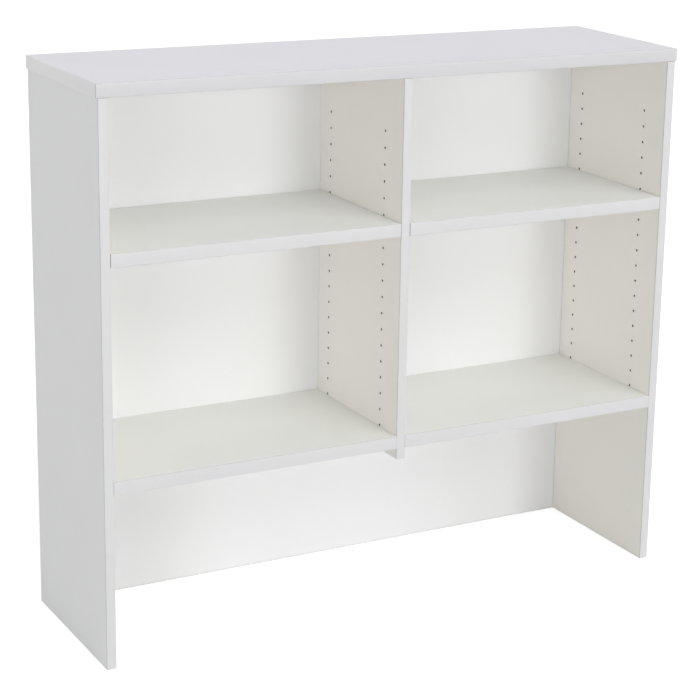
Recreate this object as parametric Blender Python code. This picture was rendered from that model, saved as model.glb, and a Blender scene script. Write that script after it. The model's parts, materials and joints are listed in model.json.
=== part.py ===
"""Desk hutch: an open shelf unit of white melamine-faced board that stands on the back of a desk.

Two side panels, a hanging centre divider and a full-height back panel carry a thick top board. Two lower
shelves are fixed with cam locks. Two upper shelves rest on pins in a grid of holes and pull out forwards.
Metres, +Z up. The origin is on the desk, under the middle of the hutch, and the front faces -Y.
"""

import math

import bmesh
import bpy
from mathutils import Matrix, Vector

# Overall sizes
WIDTH = 1.200  # over the outer faces of the side panels
DEPTH = 0.350  # from the front edge bands to the rear face
HEIGHT = 1.070  # from the desk to the top face
TOP_OVERHANG = 0.003  # the top board past each side panel

# Boards
SIDE_THICKNESS = 0.018
DIVIDER_THICKNESS = 0.018
BACK_THICKNESS = 0.018
TOP_THICKNESS = 0.025
SHELF_THICKNESS = 0.025
LOWER_SHELF_UNDERSIDE = 0.333  # above the desk: the clear height over the desk
DIVIDER_DROP = 0.021  # the divider reaches this far below the lower shelves
LOOSE_SHELF_CLEARANCE = 0.001  # at both ends and behind each upper shelf

# Edge bands
BAND_THICKNESS = 0.002
BAND_ARRIS_RADIUS = 0.001
BAND_ARRIS_STEPS = 3

# Seats: what rests on, or fits into, a neighbour keeps this gap to it
SEAT_GAP = 0.0003

# Shelf-pin holes: a column near the front and one near the back of each face
HOLE_RADIUS = 0.0025
HOLE_PITCH = 0.032
SIDE_HOLE_DEPTH = 0.012
DIVIDER_HOLE_WEB = 0.002  # left between holes drilled from both faces of the divider
FRONT_COLUMN_INSET = 0.069  # from the front edge
REAR_COLUMN_INSET = 0.044  # from the back panel
LOWEST_HOLE_RISE = 0.003  # above the lower shelves
TOP_HOLE_MARGIN = 0.100  # at least this far below the top board
UPPER_SHELF_ROWS_DOWN = 6  # the upper shelves' pins are this many rows below the top row

# Shelf pins
PEG_RADIUS_FIT = 0.00015
PEG_END_CLEARANCE = 0.0005
PIN_RISE = 0.004  # from the hole's centre to the shelf's underside
PIN_FOOT_DROP = 0.0045  # from the hole's centre to the foot of the pin's plate
PIN_WIDTH = 0.008
PIN_REACH = 0.009  # under the shelf, from the panel's face
PIN_SHEET = 0.0016
PIN_RIB_WIDTH = 0.002
PIN_RIB_INSET = 0.001  # the rib stops short of the plate's foot and of the platform's end

# Cam locks, sunk into a board's face
CAM_RADIUS = 0.0075
CAM_LENGTH = 0.0135
CAM_AXIS_DEPTH = 0.009  # from the board's face to the bolt's axis
CAM_SETBACK = 0.034  # from the joint to the cam's centre
CAM_CROSS_LENGTH = 0.009
CAM_CROSS_WIDTH = 0.0016
CAM_CROSS_DEPTH = 0.002
BACK_CAM_END_INSET = 0.200  # the back panel's side cams, from its foot and from its top
TOP_CAM_INSET = 0.180  # the back panel's top cams, from the side panels' inner faces

# Cam bolts
BOLT_SHAFT_RADIUS = 0.0035
BOLT_NECK_RADIUS = 0.0022
BOLT_HEAD_RADIUS = 0.0034
BOLT_HEAD_LENGTH = 0.003
BOLT_THREAD_RADIUS = 0.0025
BOLT_THREAD_LENGTH = 0.011
BOLT_THREAD_CHAMFER = 0.0005

# Screws through the back panel into the divider
SCREW_LENGTH = 0.045
SCREW_SHANK_RADIUS = 0.0025
SCREW_HEAD_RADIUS = 0.0048
SCREW_HEAD_LENGTH = 0.0028
SCREW_POINT_LENGTH = 0.004
SCREW_END_INSET = 0.150  # from the divider's ends
SCREW_CROSS_LENGTH = 0.005
SCREW_CROSS_WIDTH = 0.0012
SCREW_CROSS_DEPTH = 0.0018

# Dowels between the uprights and the top board
DOWEL_RADIUS = 0.004
DOWEL_IN_UPRIGHT = 0.020
DOWEL_IN_TOP = 0.014
DOWEL_INSET = 0.055  # from the front edge

# Drawing
HOLE_SIDES = 8
CAM_SIDES = 16
SMOOTH_ANGLE = math.radians(50)
OVERCUT = 0.001  # how far a cutter runs out of the face that it cuts
MERGE_DISTANCE = 1e-6

# Planes that the pieces share
HALF_WIDTH = WIDTH / 2
FRONT = -DEPTH / 2
REAR = DEPTH / 2
BOARD_FRONT = FRONT + BAND_THICKNESS + SEAT_GAP
TOP_UNDERSIDE = HEIGHT - TOP_THICKNESS
UPRIGHT_TOP = TOP_UNDERSIDE - SEAT_GAP
INNER_FACE = HALF_WIDTH - SIDE_THICKNESS
DIVIDER_FACE = DIVIDER_THICKNESS / 2
BACK_FACE = REAR - BACK_THICKNESS
DIVIDER_FOOT = LOWER_SHELF_UNDERSIDE - DIVIDER_DROP
LOWER_SHELF_TOP = LOWER_SHELF_UNDERSIDE + SHELF_THICKNESS
SIDE_MIDDLE = HALF_WIDTH - SIDE_THICKNESS / 2
TOP_HALF_WIDTH = HALF_WIDTH + TOP_OVERHANG

# The grid of shelf-pin holes
DIVIDER_HOLE_DEPTH = (DIVIDER_THICKNESS - DIVIDER_HOLE_WEB) / 2
PEG_LENGTH = min(SIDE_HOLE_DEPTH, DIVIDER_HOLE_DEPTH) - PEG_END_CLEARANCE
LOWEST_ROW = LOWER_SHELF_TOP + LOWEST_HOLE_RISE
ROW_COUNT = int((UPRIGHT_TOP - TOP_HOLE_MARGIN - LOWEST_ROW) / HOLE_PITCH) + 1
ROWS = [LOWEST_ROW + row * HOLE_PITCH for row in range(ROW_COUNT)]
COLUMNS = {"front": FRONT + FRONT_COLUMN_INSET, "rear": BACK_FACE - REAR_COLUMN_INSET}
PIN_ROW = ROWS[-1] - UPPER_SHELF_ROWS_DOWN * HOLE_PITCH
UPPER_SHELF_UNDERSIDE = PIN_ROW + PIN_RISE

# The fittings' places
SHELF_BOLT_HEIGHT = LOWER_SHELF_UNDERSIDE + CAM_AXIS_DEPTH
BACK_BOLT_DEPTH = REAR - CAM_AXIS_DEPTH
BACK_BOLT_HEIGHTS = {"lower": BACK_CAM_END_INSET, "upper": UPRIGHT_TOP - BACK_CAM_END_INSET}
TOP_BOLT_X = INNER_FACE - TOP_CAM_INSET
SCREW_HEIGHTS = {"lower": DIVIDER_FOOT + SCREW_END_INSET, "upper": UPRIGHT_TOP - SCREW_END_INSET}
DOWEL_Y = FRONT + DOWEL_INSET

# Directions
RIGHT = Vector((1, 0, 0))
BACKWARD = Vector((0, 1, 0))
UP = Vector((0, 0, 1))


# Materials


def finish(name, colour, roughness, metallic=0.0):
    """A Principled material of one colour."""
    material = bpy.data.materials.new(name)
    material.use_nodes = True
    shader = material.node_tree.nodes["Principled BSDF"]
    shader.inputs["Base Color"].default_value = (*colour, 1.0)
    shader.inputs["Roughness"].default_value = roughness
    shader.inputs["Metallic"].default_value = metallic
    return material


# Mesh helpers


def add_box(bm, low, high):
    """Adds a box between two opposite corners."""
    low, high = Vector(low), Vector(high)
    centred = Matrix.Translation((low + high) / 2)
    bmesh.ops.create_cube(bm, size=1, matrix=centred @ Matrix.Diagonal((*(high - low), 1)))


def add_rod(bm, start, end, radius, sides=HOLE_SIDES):
    """Adds a round rod between two points."""
    start, end = Vector(start), Vector(end)
    turn = (end - start).to_track_quat("Z", "Y").to_matrix().to_4x4()
    bmesh.ops.create_cone(
        bm,
        cap_ends=True,
        segments=sides,
        radius1=radius,
        radius2=radius,
        depth=(end - start).length,
        matrix=Matrix.Translation((start + end) / 2) @ turn,
    )


def add_turned(bm, profile, sides=HOLE_SIDES):
    """Adds a piece turned about the X axis from (x, radius) pairs. The first and the last are on the axis."""
    verts = [bm.verts.new((x, radius, 0)) for x, radius in profile]
    edges = [bm.edges.new(pair) for pair in zip(verts, verts[1:])]
    bmesh.ops.spin(
        bm,
        geom=verts + edges,
        cent=(0, 0, 0),
        axis=RIGHT,
        angle=2 * math.pi,
        steps=sides,
        use_merge=True,
    )
    bmesh.ops.remove_doubles(bm, verts=bm.verts, dist=MERGE_DISTANCE)
    bmesh.ops.recalc_face_normals(bm, faces=bm.faces)


def add_extruded(bm, outline, axis, length):
    """Adds a flat outline pulled evenly to both sides along an axis."""
    face = bm.faces.new([bm.verts.new(Vector(point) - axis * (length / 2)) for point in outline])
    pulled = bmesh.ops.extrude_face_region(bm, geom=[face])["geom"]
    moved = [item for item in pulled if isinstance(item, bmesh.types.BMVert)]
    bmesh.ops.translate(bm, verts=moved, vec=axis * length)
    bmesh.ops.recalc_face_normals(bm, faces=bm.faces)


def mesh_from(name, build):
    """A mesh whose shape the build function puts into an empty bmesh."""
    bm = bmesh.new()
    build(bm)
    mesh = bpy.data.meshes.new(name)
    bm.to_mesh(mesh)
    bm.free()
    return mesh


def shade_round(mesh):
    mesh.shade_smooth()
    mesh.set_sharp_from_angle(angle=SMOOTH_ANGLE)


# Object helpers


def place(name, mesh, material, parent, location=(0, 0, 0), rotation=None):
    """Puts a mesh in the scene as one named sub-part, at a place in its parent's space."""
    obj = bpy.data.objects.new(name, mesh)
    bpy.context.scene.collection.objects.link(obj)
    if not mesh.materials:
        mesh.materials.append(material)
    obj.parent = parent
    obj.location = location
    if rotation:
        obj.rotation_mode = "QUATERNION"
        obj.rotation_quaternion = rotation
    return obj


def carrier(name, parent=None, location=(0, 0, 0)):
    """An empty that carries the pieces of one body."""
    empty = bpy.data.objects.new(name, None)
    bpy.context.scene.collection.objects.link(empty)
    empty.parent = parent
    empty.location = location
    return empty


def combine(obj, name, operation, build):
    """Cuts or joins a helper shape, given in the object's own space, into an object."""
    mesh = mesh_from(name, build)
    shade_round(mesh)
    helper = bpy.data.objects.new(f"{obj.name}_{name}", mesh)
    bpy.context.scene.collection.objects.link(helper)
    helper.parent = obj
    helper.hide_render = True
    helper.display_type = "WIRE"
    modifier = obj.modifiers.new(name, "BOOLEAN")
    modifier.operation = operation
    modifier.solver = "EXACT"
    modifier.object = helper


def cut(obj, name, build):
    combine(obj, name, "DIFFERENCE", build)


def settled_mesh(obj):
    """The object's mesh with its modifiers applied, for copies to share. The object and its helpers go."""
    bpy.context.view_layer.update()
    graph = bpy.context.evaluated_depsgraph_get()
    mesh = bpy.data.meshes.new_from_object(obj.evaluated_get(graph))
    for helper in list(obj.children):
        bpy.data.objects.remove(helper)
    bpy.data.objects.remove(obj)
    shade_round(mesh)
    return mesh


def board(name, low, high, material, parent):
    """A board between two opposite corners in world space, with its origin at its centre."""
    low, high = Vector(low), Vector(high)
    half = (high - low) / 2
    mesh = mesh_from(name, lambda bm: add_box(bm, -half, half))
    return place(name, mesh, material, parent, (low + high) / 2 - parent.location)


def drill(obj, name, rods):
    """Cuts round holes, each given in world space as its two ends and its radius."""
    centre = obj.location + obj.parent.location

    def holes(bm):
        for start, end, radius, sides in rods:
            add_rod(bm, Vector(start) - centre, Vector(end) - centre, radius, sides)

    cut(obj, name, holes)


# Edge bands


def band_outline(height):
    """A band's section: flat at the back, at y = 0, with round arrises at its face."""
    radius = min(BAND_ARRIS_RADIUS, BAND_THICKNESS, height / 2)
    outline = [(0, 0, -height / 2), (0, 0, height / 2)]
    for side in (1, -1):
        for step in range(BAND_ARRIS_STEPS + 1):
            angle = math.pi / 2 * step / BAND_ARRIS_STEPS
            across, out = math.cos(angle), math.sin(angle)
            if side < 0:
                across, out = out, across
            z = side * (height / 2 - radius + radius * across)
            outline.append((0, -(BAND_THICKNESS - radius + radius * out), z))
    return outline


def edge_band(name, start, end, height, facing, parent, material):
    """A band between the middles of its ends, on a board edge that faces a given way. Its back is at the edge."""
    start, end, facing = Vector(start), Vector(end), Vector(facing)
    along = (end - start).normalized()
    mesh = mesh_from(name, lambda bm: add_extruded(bm, band_outline(height), RIGHT, (end - start).length))
    shade_round(mesh)
    # The section's own axes: X along the band, -Y out of the board, Z across the edge
    turn = Matrix((along, -facing, along.cross(-facing))).transposed().to_quaternion()
    return place(name, mesh, material, parent, (start + end) / 2 - parent.location, turn)


def front_band(name, start, end, height, parent, material):
    """A band on a front edge, between (x, z) ends."""
    back = FRONT + BAND_THICKNESS
    (start_x, start_z), (end_x, end_z) = start, end
    return edge_band(
        name, (start_x, back, start_z), (end_x, back, end_z), height, -BACKWARD, parent, material
    )


# Holes that several boards share


def hole_grid(face, inward, depth):
    """Shelf-pin holes in a vertical face at x = face, drilled towards inward."""
    return [
        ((face - inward * OVERCUT, y, z), (face + inward * depth, y, z), HOLE_RADIUS, HOLE_SIDES)
        for y in COLUMNS.values()
        for z in ROWS
    ]


def sunk_hole(mouth, inward, radius, depth, sides=HOLE_SIDES):
    """A hole that clears a round piece of this radius and depth by the seat gap."""
    mouth, inward = Vector(mouth), Vector(inward)
    return (mouth - inward * OVERCUT, mouth + inward * (depth + SEAT_GAP), radius + SEAT_GAP, sides)


def thread_hole(mouth, inward):
    return sunk_hole(mouth, inward, BOLT_THREAD_RADIUS, BOLT_THREAD_LENGTH)


def shaft_hole(joint, inward):
    """The bore that a cam bolt's shaft runs in, from the joint to the cam's pocket."""
    return sunk_hole(joint, inward, BOLT_SHAFT_RADIUS, CAM_SETBACK)


def cam_pocket(centre, inward):
    return sunk_hole(centre, inward, CAM_RADIUS, CAM_LENGTH, CAM_SIDES)


def dowel_hole(x, z, inward, depth):
    return sunk_hole((x, DOWEL_Y, z), inward, DOWEL_RADIUS, depth)


# Fittings


def cam_mesh():
    """A cam lock: its exposed face is at z = 0, its pocket runs to +Z, and its bolt comes from +X.

    The bolt's head goes in through the entry at -Y. As the cam turns, the neck runs round the open quarter.
    """
    reach = CAM_RADIUS + OVERCUT
    head = math.hypot(BOLT_HEAD_RADIUS, BOLT_HEAD_LENGTH / 2) + SEAT_GAP
    head_rise = BOLT_HEAD_RADIUS + SEAT_GAP
    neck = BOLT_NECK_RADIUS + SEAT_GAP
    low, high = CAM_AXIS_DEPTH - head_rise, CAM_AXIS_DEPTH + head_rise
    half_cross, half_width = CAM_CROSS_LENGTH / 2, CAM_CROSS_WIDTH / 2

    def quarter(bm):
        add_box(bm, (0, -reach, CAM_AXIS_DEPTH - neck), (reach, neck, CAM_AXIS_DEPTH + neck))

    def cross(bm):
        add_box(bm, (-half_cross, -half_width, -OVERCUT), (half_cross, half_width, CAM_CROSS_DEPTH))

    def cross_arm(bm):
        add_box(bm, (-half_width, -half_cross, -OVERCUT), (half_width, half_cross, CAM_CROSS_DEPTH))

    mesh = mesh_from("cam", lambda bm: add_rod(bm, (0, 0, 0), UP * CAM_LENGTH, CAM_RADIUS, CAM_SIDES))
    obj = place("cam", mesh, ZINC, None)
    cut(obj, "entry", lambda bm: add_box(bm, (-head, -reach, low), (head, head, high)))
    cut(obj, "quarter", quarter)
    cut(obj, "cross", cross)
    cut(obj, "cross_arm", cross_arm)
    return settled_mesh(obj)


def bolt_end(joint):
    """The half of a bolt's profile from its shaft at the joint to its head in the cam, along +X."""
    head_start = joint + CAM_SETBACK - BOLT_HEAD_LENGTH / 2
    neck_start = joint + CAM_SETBACK - CAM_RADIUS - SEAT_GAP
    return [
        (neck_start, BOLT_SHAFT_RADIUS),
        (neck_start, BOLT_NECK_RADIUS),
        (head_start, BOLT_NECK_RADIUS),
        (head_start, BOLT_HEAD_RADIUS),
        (head_start + BOLT_HEAD_LENGTH, BOLT_HEAD_RADIUS),
        (head_start + BOLT_HEAD_LENGTH, 0),
    ]


def bolt_mesh():
    """A cam bolt: the joint is at x = 0, its thread is in the panel behind, and its head is in the cam at +X."""
    thread_end = -BOLT_THREAD_LENGTH
    profile = [
        (thread_end, 0),
        (thread_end, BOLT_THREAD_RADIUS - BOLT_THREAD_CHAMFER),
        (thread_end + BOLT_THREAD_CHAMFER, BOLT_THREAD_RADIUS),
        (SEAT_GAP, BOLT_THREAD_RADIUS),
        (SEAT_GAP, BOLT_SHAFT_RADIUS),
        *bolt_end(0),
    ]
    mesh = mesh_from("bolt", lambda bm: add_turned(bm, profile))
    shade_round(mesh)
    return mesh


def divider_bolt_mesh():
    """A double-ended bolt through the divider, which is centred on x = 0, with a head in a cam on each side."""
    half = bolt_end(DIVIDER_FACE)
    profile = [(-x, radius) for x, radius in reversed(half)] + half
    mesh = mesh_from("divider_bolt", lambda bm: add_turned(bm, profile))
    shade_round(mesh)
    return mesh


def screw_profile(fit=0):
    """A countersunk screw's outline along +X from the rim of its head, made larger all round by a fit."""
    return [
        (0, SCREW_HEAD_RADIUS + fit),
        (SCREW_HEAD_LENGTH, SCREW_SHANK_RADIUS + fit),
        (SCREW_LENGTH - SCREW_POINT_LENGTH, SCREW_SHANK_RADIUS + fit),
        (SCREW_LENGTH + fit, 0),
    ]


def screw_mesh():
    """A countersunk screw along +X, with its head's face at x = 0 and a cross in it."""
    half, half_width = SCREW_CROSS_LENGTH / 2, SCREW_CROSS_WIDTH / 2
    profile = [(0, 0), *screw_profile()]

    def slot(bm):
        add_box(bm, (-OVERCUT, -half, -half_width), (SCREW_CROSS_DEPTH, half, half_width))

    def slot_arm(bm):
        add_box(bm, (-OVERCUT, -half_width, -half), (SCREW_CROSS_DEPTH, half_width, half))

    obj = place("screw", mesh_from("screw", lambda bm: add_turned(bm, profile)), STEEL, None)
    cut(obj, "slot", slot)
    cut(obj, "slot_arm", slot_arm)
    return settled_mesh(obj)


def dowel_mesh():
    """A dowel along Z with the joint at z = 0."""
    foot, head = -UP * (DOWEL_IN_UPRIGHT - SEAT_GAP), UP * DOWEL_IN_TOP
    mesh = mesh_from("dowel", lambda bm: add_rod(bm, foot, head, DOWEL_RADIUS))
    shade_round(mesh)
    return mesh


def shelf_pin_mesh():
    """A shelf pin: the panel's face is at x = 0, the peg runs into it at -X, and the shelf rests on the top."""
    top = PIN_RISE - SEAT_GAP
    foot, plate, reach = -PIN_FOOT_DROP, SEAT_GAP + PIN_SHEET, PIN_REACH
    bracket = [
        (SEAT_GAP, 0, top),
        (SEAT_GAP, 0, foot),
        (plate, 0, foot),
        (plate, 0, top - PIN_SHEET),
        (reach, 0, top - PIN_SHEET),
        (reach, 0, top),
    ]
    middle, rib_top = SEAT_GAP + PIN_SHEET / 2, top - PIN_SHEET / 2
    rib = [
        (middle, 0, rib_top),
        (middle, 0, foot + PIN_RIB_INSET),
        (reach - PIN_RIB_INSET, 0, rib_top),
    ]
    peg_radius = HOLE_RADIUS - PEG_RADIUS_FIT
    obj = place(
        "shelf_pin", mesh_from("pin", lambda bm: add_extruded(bm, bracket, BACKWARD, PIN_WIDTH)), STEEL, None
    )
    combine(obj, "rib", "UNION", lambda bm: add_extruded(bm, rib, BACKWARD, PIN_RIB_WIDTH))
    combine(obj, "peg", "UNION", lambda bm: add_rod(bm, (-PEG_LENGTH, 0, 0), (middle, 0, 0), peg_radius))
    return settled_mesh(obj)


# Boards


def side_panel(side, name):
    """A side panel on the left (-1) or the right (1), with its front edge band."""
    inner, outer = side * INNER_FACE, side * HALF_WIDTH
    panel = board(
        name, (min(inner, outer), BOARD_FRONT, 0), (max(inner, outer), REAR, UPRIGHT_TOP), BOARD_FACE, HUTCH
    )
    holes = hole_grid(inner, side, SIDE_HOLE_DEPTH)
    holes += [thread_hole((inner, y, SHELF_BOLT_HEIGHT), RIGHT * side) for y in COLUMNS.values()]
    holes += [thread_hole((inner, BACK_BOLT_DEPTH, z), RIGHT * side) for z in BACK_BOLT_HEIGHTS.values()]
    holes.append(dowel_hole(side * SIDE_MIDDLE, UPRIGHT_TOP, -UP, DOWEL_IN_UPRIGHT))
    drill(panel, "holes", holes)
    middle = side * SIDE_MIDDLE
    front_band(f"{name}_edge_band", (middle, 0), (middle, UPRIGHT_TOP), SIDE_THICKNESS, HUTCH, EDGE_BAND)


def centre_divider():
    """The divider, with shelf-pin holes from both faces and bores for the through bolts."""
    rear = BACK_FACE - SEAT_GAP
    panel = board(
        "centre_divider",
        (-DIVIDER_FACE, BOARD_FRONT, DIVIDER_FOOT),
        (DIVIDER_FACE, rear, UPRIGHT_TOP),
        BOARD_FACE,
        HUTCH,
    )
    holes = []
    for side in (-1, 1):
        holes += hole_grid(side * DIVIDER_FACE, -side, DIVIDER_HOLE_DEPTH)
    through = RIGHT * (DIVIDER_FACE + OVERCUT)
    for y in COLUMNS.values():
        centre = Vector((0, y, SHELF_BOLT_HEIGHT))
        holes.append((centre - through, centre + through, BOLT_SHAFT_RADIUS + SEAT_GAP, HOLE_SIDES))
    for z in SCREW_HEIGHTS.values():
        pilot_depth = SCREW_LENGTH - BACK_THICKNESS
        holes.append(sunk_hole((0, rear, z), -BACKWARD, SCREW_SHANK_RADIUS, pilot_depth))
    holes.append(dowel_hole(0, UPRIGHT_TOP, -UP, DOWEL_IN_UPRIGHT))
    drill(panel, "holes", holes)
    front_band(
        "centre_divider_edge_band", (0, DIVIDER_FOOT), (0, UPRIGHT_TOP), DIVIDER_THICKNESS, HUTCH, EDGE_BAND
    )


def back_panel():
    """The back panel stands between the side panels. Its cams are sunk into its rear face."""
    edge = INNER_FACE - SEAT_GAP
    panel = board("back_panel", (-edge, BACK_FACE, 0), (edge, REAR, UPRIGHT_TOP), BOARD_FACE, HUTCH)
    pockets = [cam_pocket((x, REAR, z), -BACKWARD) for x, z in back_cam_places()]
    bores = [shaft_hole((side * edge, BACK_BOLT_DEPTH, z), -RIGHT * side) for side, z in back_joints()]
    bores += [shaft_hole((side * TOP_BOLT_X, BACK_BOLT_DEPTH, UPRIGHT_TOP), -UP) for side in (-1, 1)]
    drill(panel, "pockets", pockets)
    drill(panel, "bores", bores)
    centre = panel.location
    turn = (-BACKWARD).to_track_quat("X", "Z").to_matrix().to_4x4()
    outline = screw_profile(SEAT_GAP)
    rim = outline[0][1]
    sink = mesh_from("sink", lambda bm: add_turned(bm, [(-OVERCUT, 0), (-OVERCUT, rim), *outline]))

    def countersinks(bm):
        for z in SCREW_HEIGHTS.values():
            before = set(bm.verts)
            bm.from_mesh(sink)
            added = [vert for vert in bm.verts if vert not in before]
            mouth = Matrix.Translation(Vector((0, REAR, z)) - centre)
            bmesh.ops.transform(bm, matrix=mouth @ turn, verts=added)

    cut(panel, "countersinks", countersinks)


def back_joints():
    """The back panel's joints to the side panels, as (side, height)."""
    return [(side, z) for side in (-1, 1) for z in BACK_BOLT_HEIGHTS.values()]


def back_cam_places():
    """The cams' centres on the back panel's rear face, as (x, z): at the sides, then at the top."""
    sides = [(side * (INNER_FACE - CAM_SETBACK), z) for side, z in back_joints()]
    return sides + [(side * TOP_BOLT_X, TOP_UNDERSIDE - CAM_SETBACK) for side in (-1, 1)]


def top_panel():
    """The top board, with bands on its front and on both ends. The front band runs over the end bands."""
    end = TOP_HALF_WIDTH - BAND_THICKNESS - SEAT_GAP
    panel = board("top_panel", (-end, BOARD_FRONT, TOP_UNDERSIDE), (end, REAR, HEIGHT), BOARD_FACE, HUTCH)
    holes = [thread_hole((side * TOP_BOLT_X, BACK_BOLT_DEPTH, TOP_UNDERSIDE), UP) for side in (-1, 1)]
    holes += [dowel_hole(x, TOP_UNDERSIDE, UP, DOWEL_IN_TOP) for x in (-SIDE_MIDDLE, 0, SIDE_MIDDLE)]
    drill(panel, "holes", holes)
    middle = HEIGHT - TOP_THICKNESS / 2
    front_band(
        "top_front_edge_band",
        (-TOP_HALF_WIDTH, middle),
        (TOP_HALF_WIDTH, middle),
        TOP_THICKNESS,
        HUTCH,
        EDGE_BAND,
    )
    for side, name in ((-1, "top_left_edge_band"), (1, "top_right_edge_band")):
        x = side * (TOP_HALF_WIDTH - BAND_THICKNESS)
        ends = (x, BOARD_FRONT, middle), (x, REAR, middle)
        edge_band(name, *ends, TOP_THICKNESS, RIGHT * side, HUTCH, EDGE_BAND)


def lower_shelf(side, name):
    """A fixed shelf on the left (-1) or the right (1), with cam pockets in its underside."""
    ends = sorted((side * (DIVIDER_FACE + SEAT_GAP), side * (INNER_FACE - SEAT_GAP)))
    low = (ends[0], BOARD_FRONT, LOWER_SHELF_UNDERSIDE)
    high = (ends[1], BACK_FACE - SEAT_GAP, LOWER_SHELF_TOP)
    shelf = board(name, low, high, BOARD_FACE, HUTCH)
    pockets = [
        cam_pocket((x, y, LOWER_SHELF_UNDERSIDE), UP)
        for x in shelf_cam_places(side).values()
        for y in COLUMNS.values()
    ]
    bores = [
        shaft_hole((end, y, SHELF_BOLT_HEIGHT), RIGHT * inward)
        for end, inward in ((ends[0], 1), (ends[1], -1))
        for y in COLUMNS.values()
    ]
    drill(shelf, "pockets", pockets)
    drill(shelf, "bores", bores)
    middle = LOWER_SHELF_UNDERSIDE + SHELF_THICKNESS / 2
    front_band(f"{name}_edge_band", (ends[0], middle), (ends[1], middle), SHELF_THICKNESS, HUTCH, EDGE_BAND)


def shelf_cam_places(side):
    """The x of the cams in a lower shelf, at its outer end and at the divider."""
    return {"outer": side * (INNER_FACE - CAM_SETBACK), "inner": side * (DIVIDER_FACE + CAM_SETBACK)}


def upper_shelf(side, name):
    """A loose shelf on the left (-1) or the right (1), on its own carrier: it pulls out along -Y."""
    ends = sorted(
        (side * (DIVIDER_FACE + LOOSE_SHELF_CLEARANCE), side * (INNER_FACE - LOOSE_SHELF_CLEARANCE))
    )
    middle = UPPER_SHELF_UNDERSIDE + SHELF_THICKNESS / 2
    slide = carrier(f"{name}_slide", HUTCH, (sum(ends) / 2, 0, middle))
    low = (ends[0], BOARD_FRONT, UPPER_SHELF_UNDERSIDE)
    high = (ends[1], BACK_FACE - LOOSE_SHELF_CLEARANCE, UPPER_SHELF_UNDERSIDE + SHELF_THICKNESS)
    board(name, low, high, BOARD_FACE, slide)
    front_band(f"{name}_edge_band", (ends[0], middle), (ends[1], middle), SHELF_THICKNESS, slide, EDGE_BAND)


def place_shelf_pins():
    """Four pins under each upper shelf. Each one's origin is on its hole's axis, at the panel's face."""
    mesh = shelf_pin_mesh()
    turned = Matrix.Rotation(math.pi, 4, "Z").to_quaternion()
    faces = {
        "left_outer": (-INNER_FACE, None),
        "left_inner": (-DIVIDER_FACE, turned),
        "right_inner": (DIVIDER_FACE, None),
        "right_outer": (INNER_FACE, turned),
    }
    for face, (x, rotation) in faces.items():
        for column, y in COLUMNS.items():
            place(f"shelf_pin_{face}_{column}", mesh, STEEL, HUTCH, (x, y, PIN_ROW), rotation)


def place_shelf_fittings():
    """The lower shelves' cams, with their bolts from the side panels and through the divider."""
    cam, bolt, divider_bolt = cam_mesh(), bolt_mesh(), divider_bolt_mesh()
    half_turn = Matrix.Rotation(math.pi, 4, "Z").to_quaternion()
    for column, y in COLUMNS.items():
        for side, name in ((-1, "left"), (1, "right")):
            for end, x in shelf_cam_places(side).items():
                bolt_from_right = (x > 0) == (end == "outer")
                turn = None if bolt_from_right else half_turn
                label = f"shelf_cam_{name}_{end}_{column}"
                place(label, cam, ZINC, HUTCH, (x, y, LOWER_SHELF_UNDERSIDE), turn)
            turn = half_turn if side > 0 else None
            where = (side * INNER_FACE, y, SHELF_BOLT_HEIGHT)
            place(f"shelf_bolt_{name}_{column}", bolt, STEEL, HUTCH, where, turn)
        place(f"divider_bolt_{column}", divider_bolt, STEEL, HUTCH, (0, y, SHELF_BOLT_HEIGHT))
    return cam, bolt


def facing(bolt_axis, cam_axis):
    """The turn that takes a fitting's X to its bolt's axis and its Z to the way that its cam is sunk."""
    side_axis = cam_axis.cross(bolt_axis)
    return Matrix((bolt_axis, side_axis, cam_axis)).transposed().to_quaternion()


def place_back_fittings(cam, bolt):
    """The back panel's cams and bolts, and the screws through it into the divider."""
    names = [f"{side}_{height}" for side in ("left", "right") for height in BACK_BOLT_HEIGHTS]
    names += ["top_left", "top_right"]
    joints = [((side * INNER_FACE, BACK_BOLT_DEPTH, z), RIGHT * side) for side, z in back_joints()]
    joints += [((side * TOP_BOLT_X, BACK_BOLT_DEPTH, TOP_UNDERSIDE), UP) for side in (-1, 1)]
    for name, (x, z), (joint, outward) in zip(names, back_cam_places(), joints):
        place(f"back_cam_{name}", cam, ZINC, HUTCH, (x, REAR, z), facing(outward, -BACKWARD))
        place(f"back_bolt_{name}", bolt, STEEL, HUTCH, joint, facing(-outward, -BACKWARD))
    screw = screw_mesh()
    inward = (-BACKWARD).to_track_quat("X", "Z")
    for name, z in SCREW_HEIGHTS.items():
        place(f"back_screw_{name}", screw, STEEL, HUTCH, (0, REAR, z), inward)


def place_dowels():
    mesh = dowel_mesh()
    for name, x in (("left", -SIDE_MIDDLE), ("centre", 0), ("right", SIDE_MIDDLE)):
        place(f"dowel_{name}", mesh, BEECH, HUTCH, (x, DOWEL_Y, TOP_UNDERSIDE))


for old in list(bpy.data.objects):
    bpy.data.objects.remove(old)

BOARD_FACE = finish("white_melamine", (0.80, 0.79, 0.76), 0.42)
EDGE_BAND = finish("white_edge_band", (0.80, 0.80, 0.81), 0.35)
STEEL = finish("plated_steel", (0.62, 0.62, 0.60), 0.32, 1.0)
ZINC = finish("cast_zinc", (0.55, 0.55, 0.56), 0.45, 1.0)
BEECH = finish("beech", (0.60, 0.42, 0.25), 0.65)

HUTCH = carrier("hutch")

top_panel()
side_panel(-1, "left_side_panel")
side_panel(1, "right_side_panel")
centre_divider()
back_panel()
lower_shelf(-1, "lower_left_shelf")
lower_shelf(1, "lower_right_shelf")
upper_shelf(-1, "upper_left_shelf")
upper_shelf(1, "upper_right_shelf")
place_shelf_pins()
place_back_fittings(*place_shelf_fittings())
place_dowels()
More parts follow.
